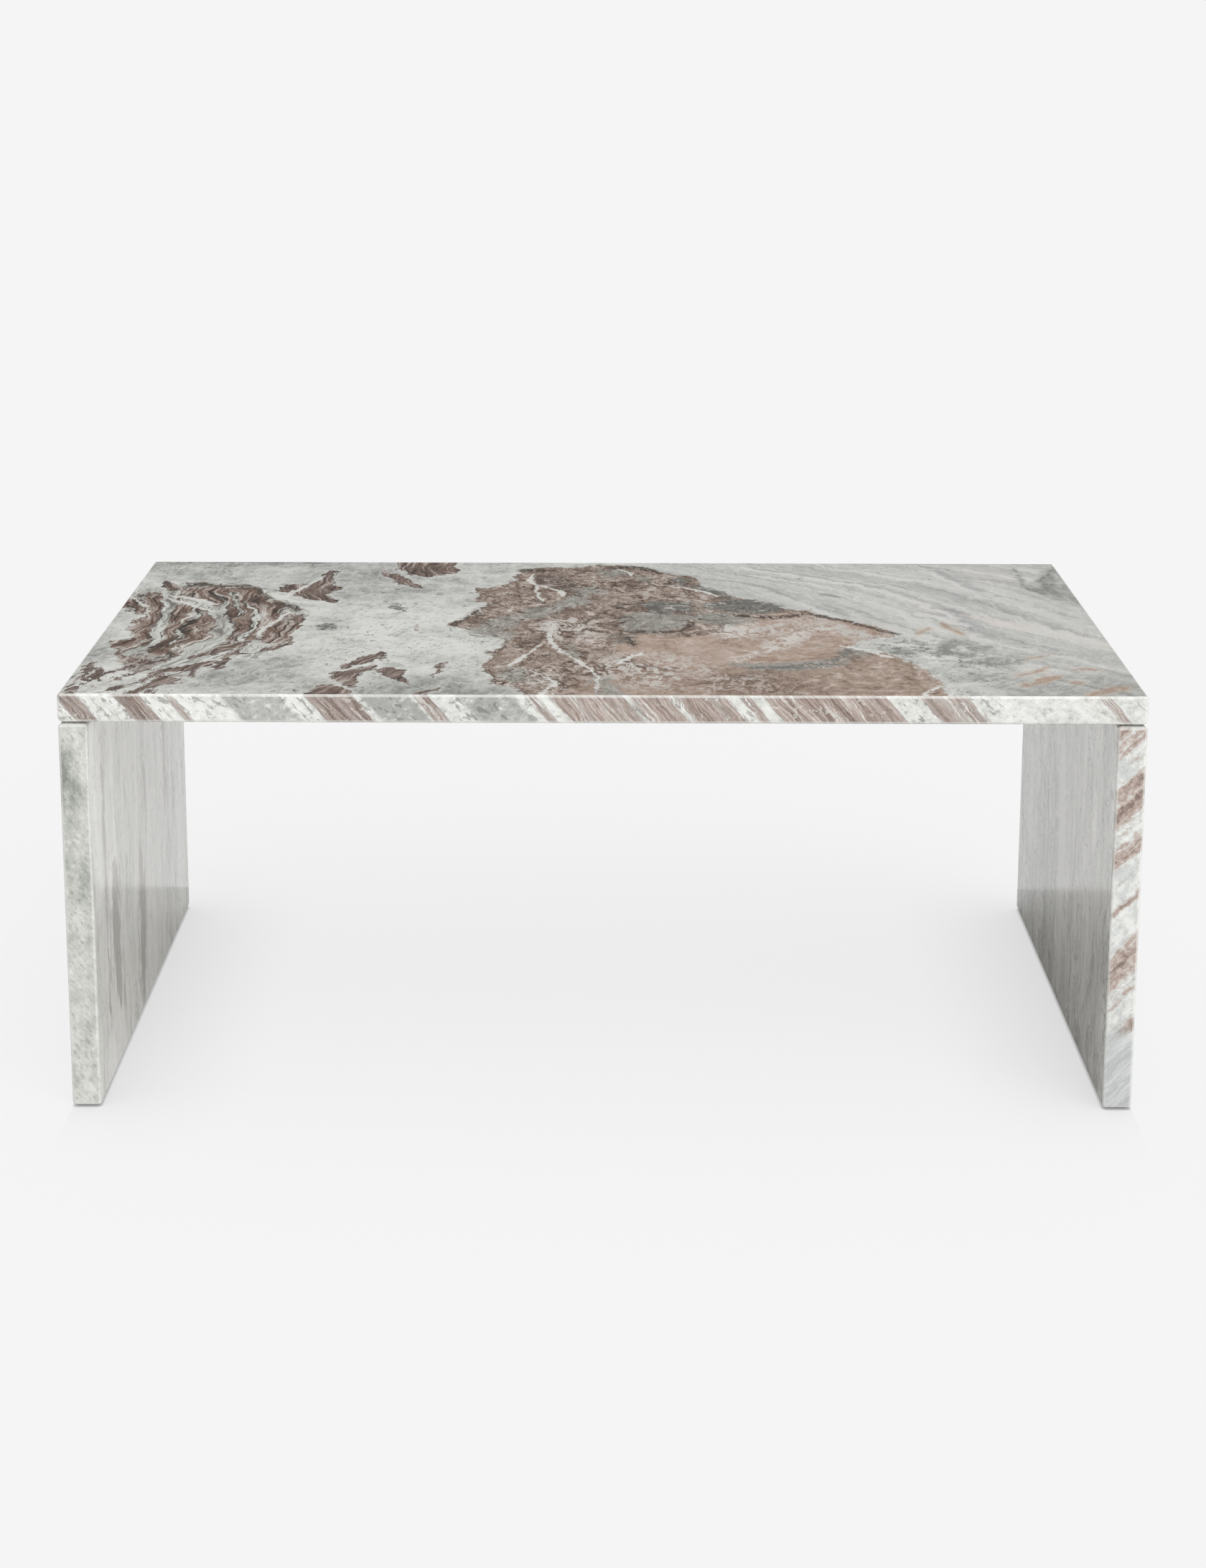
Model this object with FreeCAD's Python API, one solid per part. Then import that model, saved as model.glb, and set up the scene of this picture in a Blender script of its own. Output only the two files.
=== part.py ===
# Marble coffee table: a stone top bonded and dowelled to two stone slab legs.
# Millimetres, +X along the length, +Y to the back, +Z up, origin on the floor under the middle.
# The left end is modelled and its pieces are mirrored to make the right end.
import FreeCAD
import Part
import os
from FreeCAD import Vector

# Whole table
table_length = 1100.0
table_depth = 600.0
table_height = 445.0

# Stone slabs: the plain eased edge, and the deeper one that opens each joint line into a V
top_thickness = 30.0
leg_thickness = 30.0
arris = 3.0
joint_arris = 4.0

# Resin bed between each leg and the top
bed_thickness = 1.5

# Dowels: steel pins that stand on the bottom of a blind bore in the leg
dowel_diameter = 10.0
dowel_in_leg = 32.0
dowel_in_top = 16.0
dowel_tip_chamfer = 1.0
dowel_clearance = 0.2
dowel_end_gap = 1.5
dowel_from_end = 80.0

# Foot pads: thin discs under the legs, clear of the eased edges
pad_diameter = 22.0
pad_thickness = 2.0
pad_chamfer = 0.5
pad_from_end = 45.0

# How far a drill starts outside the face that it enters
drill_run_in = 1.0

# Levels and places shared by the pieces of the left end
top_underside = table_height - top_thickness
leg_head = top_underside - bed_thickness
leg_height = leg_head - pad_thickness
leg_centre = -table_length / 2 + leg_thickness / 2
dowel_offset = table_depth / 2 - dowel_from_end
pad_offset = table_depth / 2 - pad_from_end
dowel_foot = leg_head - dowel_in_leg
dowel_length = dowel_in_leg + bed_thickness + dowel_in_top
bore_diameter = dowel_diameter + 2 * dowel_clearance

UP = Vector(0, 0, 1)
DOWN = Vector(0, 0, -1)
STATIONS = {"front": -1, "middle": 0, "rear": 1}
SAME_LEVEL = 1e-6


def level_edges(solid, height):
    """Edges of a solid that lie flat at one height."""
    found = []
    for edge in solid.Edges:
        box = edge.BoundBox
        if abs(box.ZMin - height) < SAME_LEVEL and abs(box.ZMax - height) < SAME_LEVEL:
            found.append(edge)
    return found


def eased_slab(length, depth, height, upper_arris, lower_arris):
    """A slab standing on z = 0 with every edge eased: uprights, then upper and lower rims."""
    slab = Part.makeBox(length, depth, height, Vector(-length / 2, -depth / 2, 0))
    uprights = [edge for edge in slab.Edges if edge.BoundBox.ZLength > SAME_LEVEL]
    slab = slab.makeChamfer(arris, uprights)
    slab = slab.makeChamfer(upper_arris, level_edges(slab, height))
    return slab.makeChamfer(lower_arris, level_edges(slab, 0))


def drill(mouth, direction, depth):
    """The tool for a flat-bottomed dowel bore that enters a face at its mouth."""
    start = mouth - direction * drill_run_in
    return Part.makeCylinder(bore_diameter / 2, drill_run_in + depth, start, direction)


def dowel_axis(along, height):
    """A point at some height on the axis of a dowel of the left leg."""
    return Vector(leg_centre, along * dowel_offset, height)


def mirrored(shape):
    """The right-hand twin of a left-hand piece."""
    return shape.mirror(Vector(0, 0, 0), Vector(1, 0, 0))


def build_tabletop():
    """The top slab, with blind dowel bores in its underside over both legs."""
    slab = eased_slab(table_length, table_depth, top_thickness, arris, joint_arris)
    slab.translate(UP * top_underside)
    for along in STATIONS.values():
        bore = drill(dowel_axis(along, top_underside), UP, dowel_in_top + dowel_end_gap)
        slab = slab.cut(bore).cut(mirrored(bore))
    return slab


def build_leg():
    """A leg slab, with blind dowel bores in its head."""
    slab = eased_slab(leg_thickness, table_depth, leg_height, joint_arris, arris)
    slab.translate(Vector(leg_centre, 0, pad_thickness))
    for along in STATIONS.values():
        slab = slab.cut(drill(dowel_axis(along, leg_head), DOWN, dowel_in_leg))
    return slab


def build_resin_bed():
    """The bed on the flat of the leg's head, inside its eased edges and open at the dowels."""
    width = leg_thickness - 2 * joint_arris
    length = table_depth - 2 * joint_arris
    corner = Vector(leg_centre - width / 2, -length / 2, leg_head)
    bed = Part.makeBox(width, length, bed_thickness, corner)
    for along in STATIONS.values():
        bed = bed.cut(drill(dowel_axis(along, leg_head), UP, bed_thickness + drill_run_in))
    return bed


def build_dowel(along):
    """A plain pin with both tips chamfered."""
    pin = Part.makeCylinder(dowel_diameter / 2, dowel_length)
    tips = level_edges(pin, 0) + level_edges(pin, dowel_length)
    pin = pin.makeChamfer(dowel_tip_chamfer, tips)
    pin.translate(dowel_axis(along, dowel_foot))
    return pin


def build_foot_pad(along):
    """A disc under the leg, with its floor edge chamfered."""
    pad = Part.makeCylinder(pad_diameter / 2, pad_thickness)
    pad = pad.makeChamfer(pad_chamfer, level_edges(pad, 0))
    pad.translate(Vector(leg_centre, along * pad_offset, 0))
    return pad


left_end = {"leg": build_leg(), "resin_bed": build_resin_bed()}
for station, along in STATIONS.items():
    left_end[station + "_dowel"] = build_dowel(along)
    left_end[station + "_foot_pad"] = build_foot_pad(along)

nodes = {"tabletop": build_tabletop()}
for name, shape in left_end.items():
    nodes["left_" + name] = shape
    nodes["right_" + name] = mirrored(shape)

os.makedirs("parts", exist_ok=True)
for name, shape in nodes.items():
    shape.exportStep(os.path.join("parts", name + ".step"))
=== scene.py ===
# Marble coffee table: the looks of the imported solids, in metres, in the same frame.
# The table is put together upside down: the top first, then dowels and resin, legs and foot pads.
from math import radians

import bmesh
import bpy
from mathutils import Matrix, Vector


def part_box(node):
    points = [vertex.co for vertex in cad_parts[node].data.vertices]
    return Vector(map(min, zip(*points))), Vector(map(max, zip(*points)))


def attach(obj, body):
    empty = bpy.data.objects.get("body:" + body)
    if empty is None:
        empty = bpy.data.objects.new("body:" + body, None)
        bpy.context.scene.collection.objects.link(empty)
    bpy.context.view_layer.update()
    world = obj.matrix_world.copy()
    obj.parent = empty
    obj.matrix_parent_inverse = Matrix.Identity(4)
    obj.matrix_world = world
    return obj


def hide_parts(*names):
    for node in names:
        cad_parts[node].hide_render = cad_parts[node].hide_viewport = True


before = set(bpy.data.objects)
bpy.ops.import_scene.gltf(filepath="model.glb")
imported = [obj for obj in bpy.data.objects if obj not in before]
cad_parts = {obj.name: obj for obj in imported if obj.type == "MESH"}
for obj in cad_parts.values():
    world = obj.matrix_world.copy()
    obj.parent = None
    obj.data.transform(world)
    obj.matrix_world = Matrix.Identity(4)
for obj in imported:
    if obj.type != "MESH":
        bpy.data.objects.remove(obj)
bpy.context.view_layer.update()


# Tabletop
# One sawn slab of pale grey marble with brown and tan fields and white veins, polished all round.
# Its arrises are eased by hand: a small one round the top, a deeper one along the joint line.

top_low, top_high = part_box("tabletop")
top_arris = 0.003
joint_arris = 0.004
arris_segments = 4
arris_roundness = 0.42


def eased_slab(name, node, upper_arris, lower_arris):
    """A slab in the place of its solid, with every edge eased and slightly rounded over."""
    low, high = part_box(node)
    shape = bmesh.new()
    bmesh.ops.create_cube(shape, size=1.0)
    for corner in shape.verts:
        for axis in range(3):
            corner.co[axis] = high[axis] if corner.co[axis] > 0 else low[axis]
    widest = max(upper_arris, lower_arris)
    easing_share = shape.edges.layers.float.new("bevel_weight_edge")
    for edge in shape.edges:
        heights = [corner.co.z for corner in edge.verts]
        if min(heights) == high.z:
            edge[easing_share] = upper_arris / widest
        elif max(heights) == low.z:
            edge[easing_share] = lower_arris / widest
        else:
            edge[easing_share] = top_arris / widest
    for face in shape.faces:
        face.smooth = True
    mesh = bpy.data.meshes.new(name)
    shape.to_mesh(mesh)
    shape.free()
    slab = bpy.data.objects.new(name, mesh)
    bpy.context.collection.objects.link(slab)
    easing = slab.modifiers.new("eased edges", "BEVEL")
    easing.limit_method = "WEIGHT"
    easing.width = widest
    easing.segments = arris_segments
    easing.profile = arris_roundness
    easing.harden_normals = True
    return slab


def tone(red, green, blue):
    """A colour as it is seen on the piece, in screen values of 0 to 255."""
    linear = []
    for seen in (red, green, blue):
        share = seen / 255
        linear.append(share / 12.92 if share < 0.04045 else ((share + 0.055) / 1.055) ** 2.4)
    return (*linear, 1.0)


class Field:
    """A number, place or colour that varies over a piece: one output in its material's nodes."""

    def __init__(self, tree, socket):
        self.tree = tree
        self.socket = socket

    def through(self, kind, inputs, output=0, **settings):
        node = self.tree.nodes.new(kind)
        for setting, value in settings.items():
            setattr(node, setting, value)
        for place, value in inputs.items():
            if isinstance(value, Field):
                self.tree.links.new(value.socket, node.inputs[place])
            else:
                node.inputs[place].default_value = value
        return Field(self.tree, node.outputs[output])

    def maths(self, operation, other=0.0):
        return self.through("ShaderNodeMath", {0: self, 1: other}, operation=operation)

    def __add__(self, other):
        return self.maths("ADD", other)

    def __sub__(self, other):
        return self.maths("SUBTRACT", other)

    def __mul__(self, other):
        return self.maths("MULTIPLY", other)

    def __truediv__(self, other):
        return self.maths("DIVIDE", other)

    def taken_from(self, number):
        return self.through("ShaderNodeMath", {0: number, 1: self}, operation="SUBTRACT")

    def least(self, other):
        return self.maths("MINIMUM", other)

    def most(self, other):
        return self.maths("MAXIMUM", other)

    def size(self):
        return self.maths("ABSOLUTE")

    def ease(self, start, end):
        """0 at the start, 1 at the end, and smooth between."""
        ends = {0: self, 1: start, 2: end}
        return self.through("ShaderNodeMapRange", ends, interpolation_type="SMOOTHSTEP")

    def along(self, points):
        """A line through given points, level past its two ends."""
        curve = self.through("ShaderNodeFloatCurve", {1: self})
        mapping = curve.socket.node.mapping
        mapping.use_clip = False
        mapping.extend = "HORIZONTAL"
        line = mapping.curves[0]
        points = sorted(points)
        line.points[0].location = points[0]
        line.points[1].location = points[-1]
        for point in points[1:-1]:
            line.points.new(*point)
        for point in line.points:
            point.handle_type = "AUTO_CLAMPED"
        mapping.update()
        return curve

    def tints(self, stops):
        """A colour picked by this number from stops of (number, (red, green, blue))."""
        picked = self.through("ShaderNodeValToRGB", {0: self})
        ramp = picked.socket.node.color_ramp
        for place, (number, stop_colour) in enumerate(stops):
            stop = ramp.elements[place] if place < 2 else ramp.elements.new(number)
            stop.position = number
            stop.color = tone(*stop_colour)
        return picked

    def covered(self, cover, share):
        """This colour with another field of colour, or a (red, green, blue), over a share of it."""
        cover = cover if isinstance(cover, Field) else tone(*cover)
        layers = {0: share, 6: self, 7: cover}
        return self.through("ShaderNodeMix", layers, output=2, data_type="RGBA")

    def near(self, level, width):
        """1 where this number is at a level, falling to 0 within a width of it."""
        return (self - level).size().ease(width, 0.0)

    def shaded(self, share):
        """This colour times a number."""
        return self.through("ShaderNodeVectorMath", {0: self, 3: share}, operation="SCALE")


def new_finish(name):
    """A new material, its shader, and the place on the piece in metres as x, y and z."""
    material = bpy.data.materials.new(name)
    material.use_nodes = True
    tree = material.node_tree
    where = Field(tree, tree.nodes.new("ShaderNodeTexCoord").outputs["Object"])
    split = where.through("ShaderNodeSeparateXYZ", {0: where}).socket.node
    return material, tree.nodes["Principled BSDF"], [Field(tree, axis) for axis in split.outputs]


def feed(shader, socket, field):
    field.tree.links.new(field.socket, shader.inputs[socket])


def cloud(place, lump, detail=3.0, roughness=0.55, start=0.0):
    """Noise about 0.5, two thirds of it from 0.3 to 0.7, in lumps of a width, depth and height."""
    x, y, z = (way / size + start for way, size in zip(place, lump))
    spot = x.through("ShaderNodeCombineXYZ", {0: x, 1: y, 2: z})
    noise = x.through("ShaderNodeTexNoise", {0: spot, 2: 1.0, 3: detail, 4: roughness})
    return x.through("ShaderNodeMath", {0: noise, 1: 3.0, 2: -1.0}, operation="MULTIPLY_ADD")


def pool(place, middle_x, middle_y, reach_x, reach_y):
    """1 in the middle of an oval, falling to 0 at its rim."""
    x, y = place
    across = (x - middle_x) / reach_x
    down = (y - middle_y) / reach_y
    return (across * across + down * down).ease(1.0, 0.0)


def pools(place, ovals):
    """The strongest of some pools at a place."""
    strongest, *others = [pool(place, *oval) for oval in ovals]
    for share in others:
        strongest = strongest.most(share)
    return strongest


closing = 0.012  # past its first and last row a shape closes within this length


def patches(place, outlines):
    """How far inside any of some patches a place is; each outline has rows of (y, left, right)."""
    x, y = place
    deepest = None
    for rows in outlines:
        left = [(row, start) for row, start, _ in rows]
        right = [(row, end) for row, _, end in rows]
        for (row, start, end), step in ((rows[0], -closing), (rows[-1], closing)):
            middle = (start + end) / 2
            left.append((row + step, middle + closing))
            right.append((row + step, middle - closing))
        depth = (x - y.along(left)).least(y.along(right) - x)
        deepest = depth if deepest is None else deepest.most(depth)
    return deepest


def lines(place, paths):
    """How far inside any of some lines a place is; each path has rows of (y, x, half width)."""
    x, y = place
    deepest = None
    for rows in paths:
        path = [(row, middle) for row, middle, _ in rows]
        half = [(row, width) for row, _, width in rows]
        half.append((rows[0][0] - closing, -closing))
        half.append((rows[-1][0] + closing, -closing))
        depth = y.along(half) - (x - y.along(path)).size()
        deepest = depth if deepest is None else deepest.most(depth)
    return deepest


def drawn(place, down, across):
    """How far inside lines that run down the top, or across it as rows of (x, y, half width)."""
    return lines(place, down).most(lines(place[::-1], across))


def arris_share(field):
    """1 on the eased edges and 0 on the flats, from how square the surface stands."""
    facing = field.through("ShaderNodeNewGeometry", {}, output="Normal")
    parts = facing.through("ShaderNodeSeparateXYZ", {0: facing}).socket.node.outputs
    x, y, z = (Field(field.tree, part).size() for part in parts)
    return x.most(y).most(z).ease(0.99, 0.95)


def pitted(noise):
    """The surface's direction, rubbed a little out of true by fine noise."""
    return noise.through("ShaderNodeBump", {"Strength": 0.04, "Distance": 0.001, "Height": noise})


# Painted highlight: a pale colour laid over a share of the eased arrises, in place of their real highlight.
arris_highlight = (236, 237, 233)
arris_highlight_share = 0.42
crystal_size = 0.0018
sparkle = 0.07
gloss_drift = 0.05


def polish(shader, place, colour, drift, roughness):
    """The polished face of a slab: a fine sparkle of crystals, and a painted highlight that makes the eased
    arrises paler.
    """
    crystal = cloud(place, (crystal_size, crystal_size, crystal_size), 2.0, 0.5, 61.0)
    colour = colour.shaded(crystal * sparkle + (1.0 - sparkle / 2))
    # The painted highlight along the arrises.
    colour = colour.covered(arris_highlight, arris_share(colour) * arris_highlight_share)
    feed(shader, "Base Color", colour)
    feed(shader, "Roughness", drift * gloss_drift + roughness)
    feed(shader, "Normal", pitted(crystal))


def front_edge(y):
    """1 on the narrow front edge of a slab, and 0 behind it."""
    return y.ease(top_low.y + top_arris, top_low.y + top_arris / 2)


tabletop = eased_slab("stone_top", "tabletop", top_arris, joint_arris)
top_stone, top_shader, (slab_x, y, slab_z) = new_finish("top_stone")

# The pattern lies in the plane of the top, and runs down through the slab with a lean to the right.
vein_lean = 0.85
z = slab_z.taken_from(top_high.z)
x = slab_x - z * vein_lean
flat = (x, y)
spot = (x, y, z)

# Outlines are read at places shifted by small noise, which leaves their edges ragged.
ragged_x = x + (cloud(spot, (0.024, 0.028, 0.12), 5.0, 0.66, 11.3) - 0.5) * 0.013
ragged_y = y + (cloud(spot, (0.024, 0.028, 0.12), 5.0, 0.66, 47.9) - 0.5) * 0.015
ragged = (ragged_x, ragged_y)
frayed_x = x + (cloud(spot, (0.010, 0.014, 0.08), 3.0, 0.6, 21.7) - 0.5) * 0.005
frayed_y = y + (cloud(spot, (0.010, 0.014, 0.08), 3.0, 0.6, 67.1) - 0.5) * 0.007
frayed = (frayed_x, frayed_y)

# Pale ground: cream to grey in drifts, with smears and specks
white = (228, 229, 224)
cream = (216, 217, 211)
pale_grey = (199, 200, 195)
mid_grey = (172, 173, 168)
deep_grey = (132, 134, 128)
drift = cloud(spot, (0.085, 0.070, 0.12), 5.0, 0.62, 3.1)
ripple = cloud((x, y + drift * 0.03, z), (0.028, 0.026, 0.10), 5.0, 0.68, 77.0)
greyness = drift * 0.42 + ripple * 0.52 - 0.15
grey_pools = [
    (-0.42, 0.30, 0.30, 0.13, 0.36), (-0.23, -0.03, 0.17, 0.20, -0.20), (-0.36, -0.25, 0.12, 0.08, 0.16),
    (-0.28, 0.18, 0.14, 0.10, 0.30), (-0.20, -0.29, 0.16, 0.08, 0.32), (0.45, -0.26, 0.16, 0.12, 0.26),
    (-0.40, 0.25, 0.06, 0.06, -0.22), (-0.15, -0.27, 0.09, 0.07, 0.25), (-0.39, -0.18, 0.09, 0.09, 0.32),
    (-0.54, -0.14, 0.05, 0.06, 0.45),
]
for *oval, added_grey in grey_pools:
    greyness = greyness + pool(flat, *oval) * added_grey
greyness = greyness + pool(ragged, -0.318, -0.03, 0.045, 0.07) * 0.28
mottle = cloud(spot, (0.020, 0.018, 0.06), 5.0, 0.7, 71.0).ease(0.35, 0.75)
mottled_pools = [
    (0.325, -0.115, 0.055, 0.05, 0.8), (0.40, -0.11, 0.10, 0.09, 0.8), (0.48, -0.19, 0.14, 0.12, 0.40),
]
for *oval, added_grey in mottled_pools:
    greyness = greyness + pool(ragged, *oval) * mottle * added_grey
marble = greyness.tints([
    (0.0, white), (0.22, cream), (0.46, pale_grey), (0.72, mid_grey), (1.0, deep_grey),
])
smear = cloud((x + drift * 0.04, y + drift * 0.09, z), (0.040, 0.022, 0.10), 5.0, 0.68, 33.0)
marble = marble.covered(deep_grey, smear.ease(0.66, 1.05) * 0.55)
marble = marble.covered(white, smear.ease(0.35, 0.0) * 0.60)
speck = cloud(spot, (0.0075, 0.0090, 0.010), 3.0, 0.55, 83.0).ease(0.80, 0.90)
speck_drift = cloud(spot, (0.060, 0.060, 0.06), 2.0, 0.5, 19.0).ease(0.35, 0.85)
marble = marble.covered((104, 105, 98), speck * speck_drift * 0.75)
crack = cloud((x + y * 0.6, y - x * 0.3, z), (0.016, 0.040, 0.10), 5.0, 0.62, 87.0)
marble = marble.covered((150, 151, 143), crack.near(0.48, 0.030) * drift.ease(0.15, 0.60) * 0.65)
marble = marble.covered(white, crack.near(0.62, 0.04) * 0.50)
dash = cloud((x - y * 0.5, y + x * 0.5, z), (0.0035, 0.014, 0.05), 3.0, 0.55, 95.0)
marble = marble.covered((128, 129, 121), dash.ease(0.74, 0.90) * ripple.ease(0.20, 0.65) * 0.60)

# Over the right-hand end the layers sweep round the middle field in long soft streaks.
sweep_line = ragged_y.along([
    (-0.32, 0.720), (-0.15, 0.545), (-0.10, 0.490), (-0.05, 0.450), (0.00, 0.412), (0.065, 0.375),
    (0.12, 0.341), (0.18, 0.300), (0.215, 0.250), (0.26, 0.185), (0.30, 0.130),
])
across_sweep = ragged_x - sweep_line
streak = cloud((across_sweep, y, z), (0.026, 0.42, 0.12), 6.0, 0.68, 5.7)
hair = cloud((across_sweep, y, z), (0.012, 0.16, 0.08), 4.0, 0.64, 29.0)
end_line = ragged_y.along([(-0.30, 0.42), (-0.12, 0.36), (-0.05, 0.30), (0.10, 0.14), (0.30, 0.02)])
right_end = (ragged_x - end_line).ease(-0.01, 0.06)
streak_colour = streak.tints([
    (0.0, (230, 229, 226)), (0.35, (211, 210, 206)), (0.60, (194, 194, 191)), (0.82, (183, 183, 181)),
    (1.0, (170, 171, 168)),
])
marble = marble.covered(streak_colour, right_end * 0.80)
marble = marble.covered((150, 151, 148), hair.ease(0.62, 0.95) * right_end * 0.60)
marble = marble.covered((219, 217, 213), hair.ease(0.38, 0.08) * right_end * 0.55)
white_sweeps = [
    [(0.020, 0.398, 0.004), (0.050, 0.384, 0.005), (0.080, 0.371, 0.008), (0.115, 0.352, 0.007),
     (0.150, 0.328, 0.007), (0.172, 0.308, 0.008), (0.215, 0.250, 0.008), (0.275, 0.165, 0.006)],
    [(-0.010, 0.402, 0.005), (0.020, 0.380, 0.009), (0.045, 0.358, 0.006)],
    [(0.150, 0.432, 0.003), (0.200, 0.412, 0.004), (0.260, 0.386, 0.004)],
]
beside_sweeps = lines((ragged_x - 0.013, ragged_y), white_sweeps)
marble = marble.covered((168, 168, 170), beside_sweeps.ease(-0.008, 0.003) * 0.55)
marble = marble.covered((227, 225, 221), lines(ragged, white_sweeps).ease(-0.004, 0.003) * 0.80)
blush = pool((x + y * 1.1, y), 0.447, -0.045, 0.034, 0.13)
blush = blush.most(pool(ragged, 0.460, 0.235, 0.045, 0.08) * 0.5)
marble = marble.covered((230, 221, 216), blush.ease(0.0, 1.0) * streak.ease(1.0, 0.3) * 0.62)
front_grey = pool(flat, 0.51, -0.28, 0.13, 0.09) * (mottle * 0.5 + 0.4)
marble = marble.covered((150, 151, 145), front_grey * 0.85)
marble = marble.covered(cream, pool(flat, 0.51, -0.05, 0.09, 0.09) * streak.ease(0.95, 0.35) * 0.45)
smudges = [(0.388, -0.108, 0.036, 0.046), (0.418, -0.165, 0.034, 0.024), (0.312, -0.115, 0.026, 0.028)]
smudge = pools(ragged, smudges).ease(0.0, 0.6)
marble = marble.covered((134, 136, 130), smudge * ripple.ease(0.20, 0.60) * 0.70)
corner_grey = [[(0.105, 0.524, 0.570), (0.165, 0.499, 0.570), (0.220, 0.516, 0.570), (0.278, 0.538, 0.570)]]
corner_colour = ripple.tints([(0.1, (182, 183, 177)), (0.9, (126, 128, 121))])
marble = marble.covered(corner_colour, patches(ragged, corner_grey).ease(-0.003, 0.012) * 0.85)

# Left-hand cluster: layered brown bands with pale seams, bowed like the rings of a shell
cluster = [[
    (-0.215, -0.492, -0.462), (-0.180, -0.506, -0.440), (-0.150, -0.514, -0.362),
    (-0.120, -0.528, -0.345), (-0.100, -0.537, -0.337), (-0.070, -0.514, -0.340),
    (-0.030, -0.527, -0.340), (0.020, -0.522, -0.334), (0.050, -0.542, -0.343), (0.080, -0.565, -0.355),
    (0.110, -0.580, -0.378), (0.140, -0.580, -0.392), (0.165, -0.526, -0.405), (0.178, -0.496, -0.430),
    (0.188, -0.486, -0.470),
]]
brown_bands = [
    [(0.041, -0.531, -0.517), (0.059, -0.539, -0.521), (0.080, -0.560, -0.528), (0.102, -0.570, -0.537)],
    [(-0.172, -0.497, -0.474), (-0.154, -0.509, -0.491), (-0.129, -0.520, -0.508),
     (-0.106, -0.533, -0.503), (-0.090, -0.525, -0.496), (-0.071, -0.509, -0.492),
     (-0.054, -0.505, -0.494), (-0.034, -0.527, -0.502), (-0.017, -0.524, -0.498),
     (0.003, -0.522, -0.499), (0.024, -0.514, -0.497), (0.052, -0.517, -0.497), (0.081, -0.522, -0.501),
     (0.125, -0.537, -0.516)],
    [(-0.166, -0.472, -0.464), (-0.147, -0.479, -0.466), (-0.128, -0.487, -0.463),
     (-0.109, -0.489, -0.451), (-0.090, -0.484, -0.443), (-0.071, -0.476, -0.432),
     (-0.024, -0.477, -0.433), (0.024, -0.483, -0.440), (0.052, -0.486, -0.455), (0.074, -0.488, -0.472)],
    [(-0.122, -0.416, -0.397), (-0.103, -0.414, -0.393), (-0.083, -0.411, -0.384),
     (-0.064, -0.402, -0.380), (-0.017, -0.414, -0.375), (0.010, -0.418, -0.372), (0.038, -0.429, -0.365),
     (0.060, -0.435, -0.362), (0.088, -0.440, -0.377), (0.110, -0.472, -0.394), (0.133, -0.480, -0.402),
     (0.155, -0.486, -0.412)],
    [(-0.093, -0.357, -0.333), (-0.077, -0.376, -0.331), (-0.030, -0.372, -0.333),
     (0.025, -0.362, -0.335)],
    [(-0.212, -0.504, -0.484), (-0.190, -0.512, -0.474), (-0.172, -0.508, -0.470)],
]
bow = y.along([
    (-0.30, -0.110), (-0.25, -0.080), (-0.20, -0.052), (-0.15, -0.030), (-0.10, -0.012), (-0.05, -0.002),
    (0.00, 0.002), (0.05, 0.000), (0.10, -0.008), (0.18, -0.024),
])
wave = (cloud(spot, (0.050, 0.060, 0.12), 3.0, 0.5, 91.0) - 0.5) * 0.018
band_place = (x - bow + wave, y, z)
layer = cloud(band_place, (0.0090, 0.15, 0.12), 5.0, 0.62, 7.7)
thread = cloud(band_place, (0.0050, 0.070, 0.08), 4.0, 0.62, 13.0)
fleck = cloud(spot, (0.018, 0.022, 0.06), 4.0, 0.68, 57.0)
curl = cloud((x + wave, y + wave, z), (0.016, 0.030, 0.10), 4.0, 0.66, 51.0)
pale_layers = (layer * 0.6 + thread * 0.4).tints([
    (0.16, (128, 124, 117)), (0.36, (186, 187, 180)), (0.60, (208, 210, 203)), (0.86, (228, 229, 225)),
])
dark_outline = (58, 47, 41)
tawny_threads = thread.near(0.42, 0.07) * fleck.ease(0.30, 0.60)
pale_layers = pale_layers.covered((112, 97, 89), tawny_threads * 0.80)
pale_layers = pale_layers.covered(dark_outline, layer.near(0.40, 0.035) * curl.ease(0.35, 0.65) * 0.80)
band_brown = (layer * 0.4 + thread * 0.6).tints([
    (0.22, (50, 40, 34)), (0.38, (104, 82, 69)), (0.54, (134, 111, 98)), (0.70, (156, 136, 123)),
    (0.86, (216, 210, 204)),
])
band_brown = band_brown.covered(dark_outline, layer.near(0.46, 0.04) * curl.ease(0.30, 0.60) * 0.85)
light_threads = thread.near(0.66, 0.05) * curl.ease(0.70, 0.40)
band_brown = band_brown.covered((206, 201, 195), light_threads * 0.80)
pale_seams = [
    [(-0.150, -0.505, 0.003), (-0.135, -0.498, 0.006), (-0.100, -0.488, 0.006), (-0.060, -0.488, 0.006),
     (-0.010, -0.490, 0.004), (0.040, -0.493, 0.005), (0.085, -0.498, 0.005), (0.135, -0.508, 0.005),
     (0.160, -0.500, 0.003)],
    [(-0.200, -0.462, 0.008), (-0.150, -0.437, 0.013), (-0.100, -0.425, 0.010), (-0.050, -0.416, 0.008),
     (0.000, -0.418, 0.006), (0.040, -0.430, 0.004), (0.090, -0.438, 0.004), (0.130, -0.452, 0.002)],
    [(-0.140, -0.405, 0.004), (-0.090, -0.394, 0.004), (-0.050, -0.391, 0.003), (0.000, -0.390, 0.003),
     (0.055, -0.396, 0.002), (0.095, -0.412, 0.001)],
    [(-0.110, -0.468, 0.001), (-0.030, -0.461, 0.002), (0.030, -0.456, 0.002), (0.065, -0.466, 0.001)],
    [(0.020, -0.408, 0.001), (0.080, -0.420, 0.003), (0.140, -0.434, 0.002)],
]
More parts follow.
